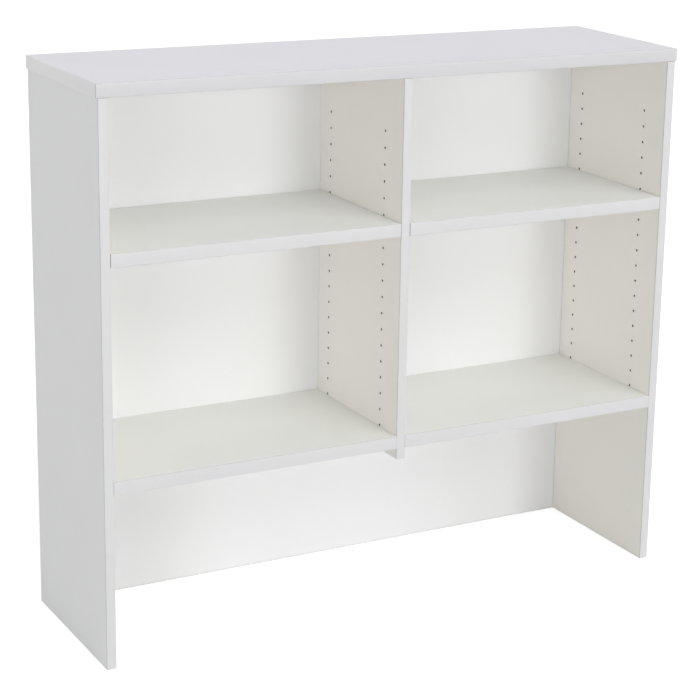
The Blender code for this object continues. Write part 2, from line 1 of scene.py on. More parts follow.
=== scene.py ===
"""Desk hutch in white melamine-faced board, dressed round its CAD frame.

Every board, band and fitting is made again at a finer grain than the CAD solid that it replaces, and stays
inside that solid's box. Metres, +Z up, and the open front faces -Y.
"""

import json
import math

import bmesh
import bpy
from mathutils import Euler, Matrix, Vector


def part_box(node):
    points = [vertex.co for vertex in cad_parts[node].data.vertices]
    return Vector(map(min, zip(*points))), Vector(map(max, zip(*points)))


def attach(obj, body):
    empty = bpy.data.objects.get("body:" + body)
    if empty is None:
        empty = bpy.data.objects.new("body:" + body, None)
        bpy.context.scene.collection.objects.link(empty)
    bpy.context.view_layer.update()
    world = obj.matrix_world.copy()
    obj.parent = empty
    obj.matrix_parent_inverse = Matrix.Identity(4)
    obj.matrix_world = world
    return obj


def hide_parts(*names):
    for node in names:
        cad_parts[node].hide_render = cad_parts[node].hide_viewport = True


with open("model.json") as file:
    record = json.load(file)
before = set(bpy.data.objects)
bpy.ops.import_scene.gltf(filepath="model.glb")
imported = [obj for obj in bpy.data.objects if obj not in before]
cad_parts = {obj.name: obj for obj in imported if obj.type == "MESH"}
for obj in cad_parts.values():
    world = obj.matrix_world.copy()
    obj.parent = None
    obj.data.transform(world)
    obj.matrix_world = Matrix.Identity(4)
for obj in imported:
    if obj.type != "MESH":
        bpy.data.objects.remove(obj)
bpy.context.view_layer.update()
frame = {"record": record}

X, Y, Z = Vector((1, 0, 0)), Vector((0, 1, 0)), Vector((0, 0, 1))
MM = 0.001
WHITE = (1.0, 1.0, 1.0)

# Sizes that the CAD boxes don't tell
SEAT_GAP = 0.3 * MM
OVERCUT = 1.0 * MM  # how far a cutter reaches past the face that it opens
ARRIS = 0.25 * MM  # the boards' trimmed edges
ARRIS_STEPS = 2
BAND_RADIUS = 1.0 * MM
BAND_STEPS = 6
GLUE_SET_BACK = 0.1 * MM  # how far a glue line ends inside its band's edges
OPEN_JOINT = 1.0 * MM  # what the top's end bands stop short of its front band
JOINT_SUNK = 0.4 * MM  # how deep the glue in that joint lies below the band's face
HOLE_RADIUS = 2.5 * MM
HOLE_PITCH = 32.0 * MM
HOLE_ROWS = 19
LOWEST_ROW_RISE = 3.0 * MM  # from the lower shelves' top faces to the lowest holes
SIDE_HOLE_DEPTH = 12.0 * MM
DIVIDER_HOLE_DEPTH = 8.0 * MM
ROWS_BELOW_PINS = 12
ROUND_SIDES = 28
POCKET_SIDES = 40
CAM_SIDES = 48
PEG_SIDES = 24
FLUTE_SIDES = 6
SMOOTH_ANGLE = math.radians(40)
FLAT_FACE = 0.999  # the least part along an axis of a main face's normal
SAME_WAY = 0.9  # the least part along an axis of a normal that faces that way
DARK_FOOT_FULL = 0.3 * MM  # the darkening at the foot is full up to this height, and ends at the next
DARK_FOOT_END = 4.0 * MM

CAM_RADIUS = 7.5 * MM
CAM_LENGTH = 13.5 * MM
CAM_AXIS_DEPTH = 9.0 * MM
BOLT_SHAFT_RADIUS = 3.5 * MM
BOLT_THREAD_RADIUS = 2.5 * MM
BOLT_THREAD_LENGTH = 11.0 * MM
BOLT_NECK_RADIUS = 2.2 * MM
BOLT_HEAD_RADIUS = 3.4 * MM
BOLT_HEAD_LENGTH = 3.0 * MM
CAM_SETBACK = 34.0 * MM
SCREW_LENGTH = 45.0 * MM
SCREW_HEAD_RADIUS = 4.8 * MM
SCREW_HEAD_LENGTH = 2.8 * MM
SCREW_SHANK_RADIUS = 2.5 * MM
DOWEL_RADIUS = 4.0 * MM
THREAD_PITCH = 1.75 * MM
THREAD_ROWS = 8  # rings of points in each turn
THREAD_DEPTH = 0.55 * MM
THREAD_STEEPNESS = 3.2  # how fast a thread's flanks fall from its crest

BODIES = {node: body for body, nodes in frame["record"]["behaviour"]["bodies"].items() for node in nodes}


# Materials


class Nodes:
    """A material's node tree, with short calls for the nodes that the surfaces use."""

    # The Mix node's sockets for colours
    FACTOR, FIRST, SECOND = 0, 6, 7
    RESULT = 2

    def __init__(self, name):
        self.material = bpy.data.materials.new(name)
        self.material.use_nodes = True
        self.tree = self.material.node_tree
        self.shader = self.tree.nodes["Principled BSDF"]
        self.place = self.tree.nodes.new("ShaderNodeTexCoord").outputs["Object"]

    def add(self, kind, inputs=(), **settings):
        node = self.tree.nodes.new(kind)
        for key, value in settings.items():
            setattr(node, key, value)
        for key, value in dict(inputs).items():
            self.put(node.inputs[key], value)
        return node

    def put(self, socket, value):
        if isinstance(value, bpy.types.NodeSocket):
            self.tree.links.new(value, socket)
        else:
            socket.default_value = value

    def stretched(self, scale):
        """The place in the object's own frame, scaled along each axis."""
        return self.add("ShaderNodeMapping", {"Vector": self.place, "Scale": scale}).outputs["Vector"]

    def noise(self, scale, detail=2.0, roughness=0.5, vector=None, distortion=0.0):
        values = {"Scale": scale, "Detail": detail, "Roughness": roughness, "Distortion": distortion}
        return self.add("ShaderNodeTexNoise", {"Vector": vector or self.place, **values}).outputs["Fac"]

    def spread(self, value, low, high, out_low=0.0, out_high=1.0):
        """Takes a value between low and high to a value between out_low and out_high."""
        values = {"Value": value, "From Min": low, "From Max": high, "To Min": out_low, "To Max": out_high}
        return self.add("ShaderNodeMapRange", values).outputs["Result"]

    def mix(self, factor, first, second):
        node = self.add("ShaderNodeMix", data_type="RGBA")
        self.put(node.inputs[self.FACTOR], factor)
        self.put(node.inputs[self.FIRST], (*first, 1) if isinstance(first, tuple) else first)
        self.put(node.inputs[self.SECOND], (*second, 1) if isinstance(second, tuple) else second)
        return node.outputs[self.RESULT]

    def sum(self, first, second, share):
        """first plus a share of second."""
        return self.add(
            "ShaderNodeMath", {0: second, 1: share, 2: first}, operation="MULTIPLY_ADD"
        ).outputs[0]

    def bump(self, height, strength, distance):
        values = {"Height": height, "Strength": strength, "Distance": distance}
        self.put(self.shader.inputs["Normal"], self.add("ShaderNodeBump", values).outputs["Normal"])

    def finish(self, colour, roughness, metallic=0.0, specular=0.5):
        self.put(self.shader.inputs["Base Color"], colour)
        self.put(self.shader.inputs["Roughness"], roughness)
        self.shader.inputs["Metallic"].default_value = metallic
        self.shader.inputs["Specular IOR Level"].default_value = specular
        return self.material


def shade(colour, share):
    return tuple(channel * share for channel in colour)


def melamine(name, colour, roughness=0.46, specular=0.4):
    """White melamine facing: a fine pearl grain, slow changes of tone, rubbed patches and blotches darker at
    the foot.
    """
    nodes = Nodes(name)
    grain = nodes.noise(850, detail=2.0, roughness=0.6)
    coarse = nodes.noise(240, detail=2.0, roughness=0.5)
    cloud = nodes.noise(3.0, detail=3.0, roughness=0.5)
    rubbed = nodes.noise(14.0, detail=4.0, roughness=0.6)
    tone = nodes.mix(nodes.spread(cloud, 0.3, 0.7), shade(colour, 0.982), shade(colour, 1.012))
    tone = nodes.mix(nodes.spread(grain, 0.35, 0.65, 0.0, 0.35), tone, shade(colour, 0.955))
    # Darker towards the bottom, in blotches, over the lowest 4 mm
    above_foot = nodes.add("ShaderNodeSeparateXYZ", {"Vector": nodes.place}).outputs["Z"]
    foot_nearness = nodes.spread(above_foot, DARK_FOOT_FULL, DARK_FOOT_END, 1.0, 0.0)
    foot_blotches = nodes.spread(nodes.noise(120.0, detail=3.0, roughness=0.6), 0.3, 0.6, 0.5, 1.0)
    darker_foot = nodes.add("ShaderNodeMath", {0: foot_nearness, 1: foot_blotches}, operation="MULTIPLY").outputs[0]
    tone = nodes.mix(darker_foot, tone, shade(colour, 0.84))
    height = nodes.sum(grain, coarse, 0.8)
    nodes.bump(height, strength=0.22, distance=0.06 * MM)
    rub = nodes.spread(rubbed, 0.3, 0.7, roughness - 0.035, roughness + 0.05)
    return nodes.finish(tone, rub, specular=specular)


def worn_arris():
    """The boards' trimmed arrises: the facing rubbed thin, with specks of the core showing through."""
    nodes = Nodes("worn_arris")
    rubs = nodes.noise(45.0, detail=3.0, roughness=0.6)
    specks = nodes.noise(1300, detail=3.0, roughness=0.7)
    tone = nodes.mix(nodes.spread(rubs, 0.35, 0.65), (0.82, 0.81, 0.78), (0.68, 0.66, 0.61))
    tone = nodes.mix(nodes.spread(specks, 0.60, 0.72, 0.0, 0.8), tone, (0.36, 0.27, 0.18))
    nodes.bump(specks, strength=0.4, distance=0.05 * MM)
    return nodes.finish(tone, nodes.spread(rubs, 0.3, 0.7, 0.45, 0.65))


def edging(name, colour):
    """Plastic edge band: smoother than the boards, with faint scraper lines along its length."""
    nodes = Nodes(name)
    lines = nodes.noise(1.0, detail=3.0, roughness=0.6, vector=nodes.stretched((14, 14, 900)))
    lines_down = nodes.noise(1.0, detail=3.0, roughness=0.6, vector=nodes.stretched((900, 14, 14)))
    cloud = nodes.noise(5.0, detail=2.0, roughness=0.5)
    both = nodes.sum(lines, lines_down, 1.0)
    tone = nodes.mix(nodes.spread(cloud, 0.3, 0.7), shade(colour, 0.985), shade(colour, 1.01))
    tone = nodes.mix(nodes.spread(both, 0.8, 1.2, 0.0, 0.3), tone, shade(colour, 0.965))
    nodes.bump(both, strength=0.12, distance=0.03 * MM)
    return nodes.finish(tone, nodes.spread(both, 0.7, 1.3, 0.28, 0.38))


def chipboard():
    """The core that shows where a board is drilled: pressed chips in several browns, darkened as painted hole
    shade.
    """
    nodes = Nodes("chipboard_core_painted_hole_shade")
    chips = nodes.add(
        "ShaderNodeTexVoronoi", {"Vector": nodes.stretched((1, 1, 2.5)), "Scale": 700.0}
    ).outputs["Color"]
    dust = nodes.noise(1600, detail=3.0, roughness=0.7)
    pick = nodes.add("ShaderNodeSeparateColor", {"Color": chips}).outputs["Red"]
    tone = nodes.mix(pick, (0.11, 0.065, 0.035), (0.27, 0.18, 0.11))
    tone = nodes.mix(nodes.spread(dust, 0.4, 0.7, 0.0, 0.6), tone, (0.07, 0.045, 0.025))
    nodes.bump(nodes.sum(dust, pick, 0.5), strength=0.6, distance=0.25 * MM)
    return nodes.finish(tone, roughness=0.85, specular=0.25)


def glue():
    """The thin line of set glue between a board and its band."""
    nodes = Nodes("glue_line")
    blots = nodes.noise(300, detail=3.0, roughness=0.6)
    tone = nodes.mix(nodes.spread(blots, 0.35, 0.65), (0.13, 0.115, 0.10), (0.24, 0.215, 0.185))
    return nodes.finish(tone, roughness=0.6, specular=0.3)


def plated(name, colour, roughness):
    """Zinc-plated steel: bright, with fine drawn lines and a few dull spots."""
    nodes = Nodes(name)
    spots = nodes.noise(420, detail=4.0, roughness=0.6)
    lines = nodes.noise(1.0, detail=2.0, roughness=0.5, vector=nodes.stretched((2400, 300, 300)))
    tone = nodes.mix(nodes.spread(spots, 0.4, 0.7), colour, shade(colour, 0.82))
    nodes.bump(nodes.sum(lines, spots, 0.5), strength=0.15, distance=0.02 * MM)
    return nodes.finish(tone, nodes.spread(spots, 0.3, 0.7, roughness - 0.06, roughness + 0.10), metallic=1.0)


def cast(name, colour):
    """Die-cast zinc: dull grey, grainy, with a slight tumbled polish."""
    nodes = Nodes(name)
    grain = nodes.noise(1900, detail=3.0, roughness=0.6)
    flow = nodes.noise(260, detail=4.0, roughness=0.6, distortion=1.5)
    tone = nodes.mix(nodes.spread(flow, 0.35, 0.65), shade(colour, 0.85), colour)
    nodes.bump(nodes.sum(grain, flow, 0.6), strength=0.35, distance=0.05 * MM)
    return nodes.finish(tone, nodes.spread(flow, 0.3, 0.7, 0.38, 0.55), metallic=1.0)


def wood():
    """Beech: pale, with fine lines along Z and short dark flecks."""
    nodes = Nodes("beech_grain")
    lines = nodes.noise(1.0, detail=4.0, roughness=0.6, vector=nodes.stretched((900, 900, 40)))
    flecks = nodes.noise(1.0, detail=2.0, roughness=0.5, vector=nodes.stretched((1800, 1800, 300)))
    tone = nodes.mix(nodes.spread(lines, 0.35, 0.65), (0.50, 0.33, 0.18), (0.66, 0.48, 0.30))
    tone = nodes.mix(nodes.spread(flecks, 0.62, 0.72, 0.0, 0.7), tone, (0.30, 0.17, 0.08))
    nodes.bump(nodes.sum(lines, flecks, 0.5), strength=0.3, distance=0.05 * MM)
    return nodes.finish(tone, roughness=0.6, specular=0.3)


FACE = melamine("melamine_face", (0.912, 0.914, 0.918))
# A warm copy of the same white, for the sides' inward faces and the divider: painted warm shade
INNER_WARM_SHADE = melamine("melamine_inner_face_painted_warm_shade", (0.924, 0.900, 0.844))
# A greenish copy of the same white, for the shelves' faces: a painted tint of the light on them
SHELF_LIGHT_TINT = melamine("melamine_shelf_face_painted_light_tint", (0.916, 0.922, 0.890), roughness=0.42)
# A bluish copy of the same white, for the top's upper face: a painted tint of cool light from above
TOP_COOL_LIGHT = melamine("melamine_top_face_painted_cool_light", (0.918, 0.910, 0.948), roughness=0.60, specular=0.15)
# The front bands are made far darker than the white boards, the top's front band darker still: painted shade
# on the front edges. The top's end bands keep a white near the boards'.
SHADED_BAND = edging("edge_band", (0.650, 0.647, 0.654))
SHADED_TOP_BAND = edging("top_front_edge_band", (0.598, 0.594, 0.611))
END_BAND = edging("top_end_edge_band", (0.890, 0.888, 0.895))
RIM = worn_arris()
# The core is painted far darker than chipboard is: shade inside the holes
CORE_WITH_PAINTED_SHADE = chipboard()
GLUE = glue()
PLATED = plated("zinc_plated_steel", (0.66, 0.66, 0.64), 0.30)
CAST = cast("die_cast_zinc", (0.55, 0.55, 0.56))
BEECH = wood()


# Mesh helpers


def mesh_from(name, build, materials):
    bm = bmesh.new()
    build(bm)
    mesh = bpy.data.meshes.new(name)
    bm.to_mesh(mesh)
    bm.free()
    for material in materials:
        mesh.materials.append(material)
    return mesh


def shown(name, mesh):
    obj = bpy.data.objects.new(name, mesh)
    bpy.context.scene.collection.objects.link(obj)
    return obj


def stand_for(obj, node):
    """The piece takes a CAD node's place and body: the node is hidden, and the piece rides that body."""
    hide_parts(node)
    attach(obj, BODIES[node])
    return obj


def add_box(bm, low, high):
    low, high = Vector(low), Vector(high)
    centred = Matrix.Translation((low + high) / 2)
    return bmesh.ops.create_cube(bm, size=1, matrix=centred @ Matrix.Diagonal((*(high - low), 1)))["verts"]


def add_rod(bm, start, end, radius, sides=ROUND_SIDES):
    start, end = Vector(start), Vector(end)
    turn = (end - start).to_track_quat("Z", "Y").to_matrix().to_4x4()
    bmesh.ops.create_cone(
        bm,
        cap_ends=True,
        segments=sides,
        radius1=radius,
        radius2=radius,
        depth=(end - start).length,
        matrix=Matrix.Translation((start + end) / 2) @ turn,
    )


def soften(bm, edges, radius, steps):
    bmesh.ops.bevel(
        bm, geom=edges, offset=radius, segments=steps, profile=0.5, affect="EDGES", clamp_overlap=True
    )


def turned_rings(bm, rings, sides=ROUND_SIDES):
    """A closed piece about the X axis from (x, radius) rings. radius may be a function of the angle."""
    loops = []
    for x, radius in rings:
        loop = []
        for step in range(sides):
            angle = 2 * math.pi * step / sides
            r = radius(angle) if callable(radius) else radius
            loop.append(bm.verts.new((x, r * math.cos(angle), r * math.sin(angle))))
        loops.append(loop)
    for first, second in zip(loops, loops[1:]):
        for step in range(sides):
            after = (step + 1) % sides
            bm.faces.new((first[step], first[after], second[after], second[step]))
    bm.faces.new(loops[0])
    bm.faces.new(loops[-1])
    bmesh.ops.recalc_face_normals(bm, faces=bm.faces)


def thread(start, end, radius):
    """Rings of a helical thread about X: its crest climbs one pitch in each turn."""
    count = max(2, round((end - start) / THREAD_PITCH * THREAD_ROWS))
    rings = []
    for row in range(count + 1):
        x = start + (end - start) * row / count
        fade = min(1.0, row / THREAD_ROWS, (count - row) / THREAD_ROWS)

        def around(angle, x=x, fade=fade):
            phase = (x / THREAD_PITCH - angle / (2 * math.pi)) % 1.0
            ridge = max(0.0, 1.0 - abs(phase - 0.5) * THREAD_STEEPNESS)
            return radius - THREAD_DEPTH * (1.0 - ridge * fade)

        rings.append((x, around))
    return rings


def round_shading(mesh, angle=SMOOTH_ANGLE):
    mesh.shade_smooth()
    mesh.set_sharp_from_angle(angle=angle)


def add_modifier(obj, operation, mesh, material_mode):
    """Puts a Boolean with a mesh on an object, and gives the helper that holds the mesh."""
    round_shading(mesh)
    helper = shown("helper", mesh)
    modifier = obj.modifiers.new("shape", "BOOLEAN")
    modifier.operation = operation
    modifier.solver = "EXACT"
    modifier.material_mode = material_mode
    modifier.object = helper
    return helper


def carve(obj, cutters):
    """Cuts (build, material) shapes out of an object, and keeps the result as plain mesh."""
    helpers = []
    for build, material in cutters:
        mesh = mesh_from("cutter", build, [material])
        helpers.append(add_modifier(obj, "DIFFERENCE", mesh, "TRANSFER"))
    settle(obj, helpers)


def settle(obj, helpers):
    """Keeps an object's modified shape as its mesh, and deletes the helpers."""
    bpy.context.view_layer.update()
    graph = bpy.context.evaluated_depsgraph_get()
    mesh = bpy.data.meshes.new_from_object(obj.evaluated_get(graph))
    obj.modifiers.clear()
    obj.data = mesh
    for helper in helpers:
        bpy.data.objects.remove(helper)


# Boards

PLAIN, LIGHT_TINTED, TRIMMED = range(3)  # the places of a board's materials


def board(node, facing=None, where=None):
    """A board with softly trimmed arrises, in its node's box.

    where says by a main face's normal whether it has the facing given here, in place of the plain one.
    The facings given are copies of the same white, tinted by which way a face looks: painted light and shade.
    """
    low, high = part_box(node)

    def build(bm):
        add_box(bm, low, high)
        soften(bm, list(bm.edges), ARRIS, ARRIS_STEPS)
        for face in bm.faces:
            main = max(abs(value) for value in face.normal) > FLAT_FACE
            face.smooth = not main
            if not main:
                face.material_index = TRIMMED
            elif where and where(face.normal):
                face.material_index = LIGHT_TINTED
            else:
                face.material_index = PLAIN

    obj = shown(f"{node}_board", mesh_from(node, build, [FACE, facing or FACE, RIM]))
    return stand_for(obj, node)


def middle(node):
    low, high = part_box(node)
    return (low + high) / 2


ENDS = ("front", "rear")
HEIGHTS = ("lower", "upper")
SIDES = {"left": -1, "right": 1}

# The two columns of shelf-pin holes, as y, and their rows
COLUMNS = [middle(f"shelf_pin_left_outer_{end}").y for end in ENDS]
LOWEST_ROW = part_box("lower_left_shelf")[1].z + LOWEST_ROW_RISE
ROWS = [LOWEST_ROW + row * HOLE_PITCH for row in range(HOLE_ROWS)]
PIN_ROW = ROWS[ROWS_BELOW_PINS]


def pin_holes(face, inward, depth):
    def build(bm):
        for y in COLUMNS:
            for z in ROWS:
                add_rod(bm, (face - inward * OVERCUT, y, z), (face + inward * depth, y, z), HOLE_RADIUS)

    return build


def thread_holes(face, inward, bolts):
    """Holes for bolts' threads, in a vertical face at x = face."""

    def build(bm):
        for bolt in bolts:
            centre = middle(bolt)
            start = Vector((face - inward * OVERCUT, centre.y, centre.z))
            end = Vector((face + inward * (BOLT_THREAD_LENGTH + SEAT_GAP), centre.y, centre.z))
            add_rod(bm, start, end, BOLT_THREAD_RADIUS + SEAT_GAP)

    return build


def dowel_holes(*dowels):
    """The space round each dowel, in both of the boards that it joins."""

    def build(bm):
        for dowel in dowels:
            low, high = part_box(dowel)
            centre = (low + high) / 2
            start = Vector((centre.x, centre.y, low.z - SEAT_GAP))
            end = Vector((centre.x, centre.y, high.z + SEAT_GAP))
            add_rod(bm, start, end, DOWEL_RADIUS + SEAT_GAP)

    return build


def bolt_bores(bolts, joint_side):
    """The bores that bolts' shafts run in. joint_side gives a bolt's way from its cam to its joint."""

    def build(bm):
        for bolt in bolts:
            low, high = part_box(bolt)
            way = joint_side(bolt)
            centre = (low + high) / 2
            axis = max(range(3), key=lambda index: abs(way[index]))
            half = (high[axis] - low[axis]) / 2
            # The head's end, and the joint, which the thread's length lies beyond
            head = centre - way * half
            joint = centre + way * (half - BOLT_THREAD_LENGTH)
            add_rod(bm, head, joint + way * OVERCUT, BOLT_SHAFT_RADIUS + SEAT_GAP)

    return build


def cam_pockets(cams, outward):
    """Pockets that clear the cams by the seat gap, open towards outward."""

    def build(bm):
        for cam in cams:
            low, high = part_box(cam)
            centre = (low + high) / 2
            axis = max(range(3), key=lambda index: abs(outward[index]))
            half = (high[axis] - low[axis]) / 2
            floor = centre - outward * (half + SEAT_GAP)
            add_rod(bm, floor, centre + outward * (half + OVERCUT), CAM_RADIUS + SEAT_GAP, POCKET_SIDES)

    return build


for side_name, side in SIDES.items():
    name = f"{side_name}_side_panel"
    # The inward faces take the warm copy: painted warm shade
    panel = board(name, INNER_WARM_SHADE, lambda normal, side=side: normal.x * side < -SAME_WAY)
    inner_face = min((corner.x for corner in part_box(name)), key=abs)
    bolts = [f"shelf_bolt_{side_name}_{end}" for end in ENDS]
    bolts += [f"back_bolt_{side_name}_{height}" for height in HEIGHTS]
    carve(
        panel,
        [
            (pin_holes(inner_face, side, SIDE_HOLE_DEPTH), CORE_WITH_PAINTED_SHADE),
            (thread_holes(inner_face, side, bolts), CORE_WITH_PAINTED_SHADE),
            (dowel_holes(f"dowel_{side_name}"), CORE_WITH_PAINTED_SHADE),
        ],
    )

# Both faces of the divider take the warm copy: painted warm shade
divider = board("centre_divider", INNER_WARM_SHADE, lambda normal: abs(normal.x) > SAME_WAY)
DIVIDER_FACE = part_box("centre_divider")[1].x


def divider_bores(bm):
    for end in ENDS:
        centre = middle(f"divider_bolt_{end}")
        through = X * (DIVIDER_FACE + OVERCUT)
        add_rod(bm, centre - through, centre + through, BOLT_SHAFT_RADIUS + SEAT_GAP)


def screw_pilots(bm):
    for height in HEIGHTS:
        low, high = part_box(f"back_screw_{height}")
        centre = (low + high) / 2
        start = Vector((centre.x, low.y - SEAT_GAP, centre.z))
        end = Vector((centre.x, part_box("centre_divider")[1].y + OVERCUT, centre.z))
        add_rod(bm, start, end, SCREW_SHANK_RADIUS + SEAT_GAP)


carve(
    divider,
    [
        (pin_holes(-DIVIDER_FACE, 1, DIVIDER_HOLE_DEPTH), CORE_WITH_PAINTED_SHADE),
        (pin_holes(DIVIDER_FACE, -1, DIVIDER_HOLE_DEPTH), CORE_WITH_PAINTED_SHADE),
        (divider_bores, CORE_WITH_PAINTED_SHADE),
        (screw_pilots, CORE_WITH_PAINTED_SHADE),
        (dowel_holes("dowel_centre"), CORE_WITH_PAINTED_SHADE),
    ],
)


def screw_seats(bm):
    for height in HEIGHTS:
        centre = middle(f"back_screw_{height}")
        mouth = Vector((centre.x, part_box("back_panel")[1].y, centre.z))
        head, shank = SCREW_HEAD_RADIUS + SEAT_GAP, SCREW_SHANK_RADIUS + SEAT_GAP
        rings = [(-OVERCUT, head), (0, head), (SCREW_HEAD_LENGTH, shank), (SCREW_LENGTH, shank)]
        before = set(bm.verts)
        turned_rings(bm, rings)
        added = [vert for vert in bm.verts if vert not in before]
        turn = (-Y).to_track_quat("X", "Z").to_matrix().to_4x4()
        bmesh.ops.transform(bm, matrix=Matrix.Translation(mouth) @ turn, verts=added)


BACK_FITTINGS = {
    "left_lower": -X,
    "left_upper": -X,
    "right_lower": X,
    "right_upper": X,
    "top_left": Z,
    "top_right": Z,
}
back = board("back_panel")
carve(
    back,
    [
        (cam_pockets([f"back_cam_{place}" for place in BACK_FITTINGS], Y), CORE_WITH_PAINTED_SHADE),
        (
            bolt_bores(
                [f"back_bolt_{place}" for place in BACK_FITTINGS],
                lambda bolt: BACK_FITTINGS[bolt.removeprefix("back_bolt_")],
            ),
            CORE_WITH_PAINTED_SHADE,
        ),
        (screw_seats, CORE_WITH_PAINTED_SHADE),
    ],
)

# The top's upper face takes the bluish copy: painted cool light
top = board("top_panel", TOP_COOL_LIGHT, lambda normal: normal.z > SAME_WAY)


def top_threads(bm):
    for side_name in SIDES:
        centre = middle(f"back_bolt_top_{side_name}")
        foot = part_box("top_panel")[0].z
        start = Vector((centre.x, centre.y, foot - OVERCUT))
        end = Vector((centre.x, centre.y, foot + BOLT_THREAD_LENGTH + SEAT_GAP))
        add_rod(bm, start, end, BOLT_THREAD_RADIUS + SEAT_GAP)


carve(top, [(top_threads, CORE_WITH_PAINTED_SHADE), (dowel_holes("dowel_left", "dowel_centre", "dowel_right"), CORE_WITH_PAINTED_SHADE)])

for side_name, side in SIDES.items():
    # The shelves' faces take the greenish copy: painted light
    shelf = board(f"lower_{side_name}_shelf", SHELF_LIGHT_TINT, lambda normal: abs(normal.z) > SAME_WAY)
    cams = [f"shelf_cam_{side_name}_{place}_{end}" for place in ("outer", "inner") for end in ENDS]
    shelf_low, shelf_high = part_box(f"lower_{side_name}_shelf")

    def shelf_bores(bm, cams=cams, shelf_low=shelf_low, shelf_high=shelf_high, side=side):
        for cam in cams:
            centre = middle(cam)
            centre.z = shelf_low.z + CAM_AXIS_DEPTH
            towards = side if "outer" in cam else -side
            joint = shelf_high.x if towards > 0 else shelf_low.x
            end = Vector((joint + towards * OVERCUT, centre.y, centre.z))
            add_rod(bm, centre, end, BOLT_SHAFT_RADIUS + SEAT_GAP)

    carve(shelf, [(cam_pockets(cams, -Z), CORE_WITH_PAINTED_SHADE), (shelf_bores, CORE_WITH_PAINTED_SHADE)])
    board(f"upper_{side_name}_shelf", SHELF_LIGHT_TINT, lambda normal: abs(normal.z) > SAME_WAY)


# Edge bands, and the glue behind them


def band_outline(width, thickness):
    """A band's section as (across, out) pairs, with round arrises at its face."""
    outline = [(-width / 2, 0), (width / 2, 0)]
    for side in (1, -1):
        for step in range(BAND_STEPS + 1):
            angle = math.pi / 2 * step / BAND_STEPS
            across, out = math.cos(angle), math.sin(angle)
            if side < 0:
                across, out = out, across
            outline.append(
                (side * (width / 2 - BAND_RADIUS + BAND_RADIUS * across), thickness - BAND_RADIUS * (1 - out))
            )
    return outline


def glue_box(name, node, one_corner, other_corner):
    """Set glue between two corners, which moves with a node."""
    low = [min(values) for values in zip(one_corner, other_corner)]
    high = [max(values) for values in zip(one_corner, other_corner)]
    line = shown(name, mesh_from("glue", lambda bm: add_box(bm, low, high), [GLUE]))
    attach(line, BODIES[node])


def band(node, facing, along, material=SHADED_BAND, short=0.0):
    """A band in its node's box, with the glue line behind it.

    short is what it stops short at its start, where set glue shows in the open joint.
    """
    low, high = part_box(node)
    size, centre = high - low, (low + high) / 2
    across = along.cross(facing)
    width, thickness, length = (abs(size.dot(axis)) for axis in (across, facing, along))
    back = centre - facing * (thickness / 2)

    def build(bm):
        start = back - along * (length / 2 - short)
        points = [start + across * a + facing * out for a, out in band_outline(width, thickness)]
        face = bm.faces.new([bm.verts.new(point) for point in points])
        pulled = bmesh.ops.extrude_face_region(bm, geom=[face])["geom"]
        moved = [item for item in pulled if isinstance(item, bmesh.types.BMVert)]
        bmesh.ops.translate(bm, verts=moved, vec=along * (length - short))
        bmesh.ops.recalc_face_normals(bm, faces=bm.faces)

    mesh = mesh_from(node, build, [material])
    round_shading(mesh)
    stand_for(shown(f"{node}_piece", mesh), node)

    half = across * (width / 2 - GLUE_SET_BACK) + along * (length / 2 - GLUE_SET_BACK)
    glue_box(node.replace("edge_band", "glue_line"), node, back - half - facing * SEAT_GAP, back + half)
    if short:
        half = across * (width / 2 - BAND_RADIUS)
        start = back - along * (length / 2)
        joint_end = start + along * short + facing * (thickness - JOINT_SUNK)
        glue_box(node.replace("edge_band", "joint_glue"), node, start - half, joint_end + half)


band("top_front_edge_band", -Y, X, SHADED_TOP_BAND)
band("top_left_edge_band", -X, Y, END_BAND, OPEN_JOINT)
band("top_right_edge_band", X, Y, END_BAND, OPEN_JOINT)
for name in ("left_side_panel", "right_side_panel", "centre_divider"):
    band(f"{name}_edge_band", -Y, Z)
for level in HEIGHTS:
    for side_name in SIDES:
        band(f"{level}_{side_name}_shelf_edge_band", -Y, X)


# Fittings


def placed(node, mesh, location, turn=None):
    obj = shown(f"{node}_piece", mesh)
    obj.location = location
    if turn is not None:
        obj.rotation_mode = "QUATERNION"
        obj.rotation_quaternion = turn
    bpy.context.view_layer.update()
    return stand_for(obj, node)


def facing_turn(bolt_axis, cam_axis):
    """The turn that takes a fitting's X to its bolt's axis and its Z to the way that its cam is sunk."""
    return Matrix((bolt_axis, cam_axis.cross(bolt_axis), cam_axis)).transposed().to_quaternion()


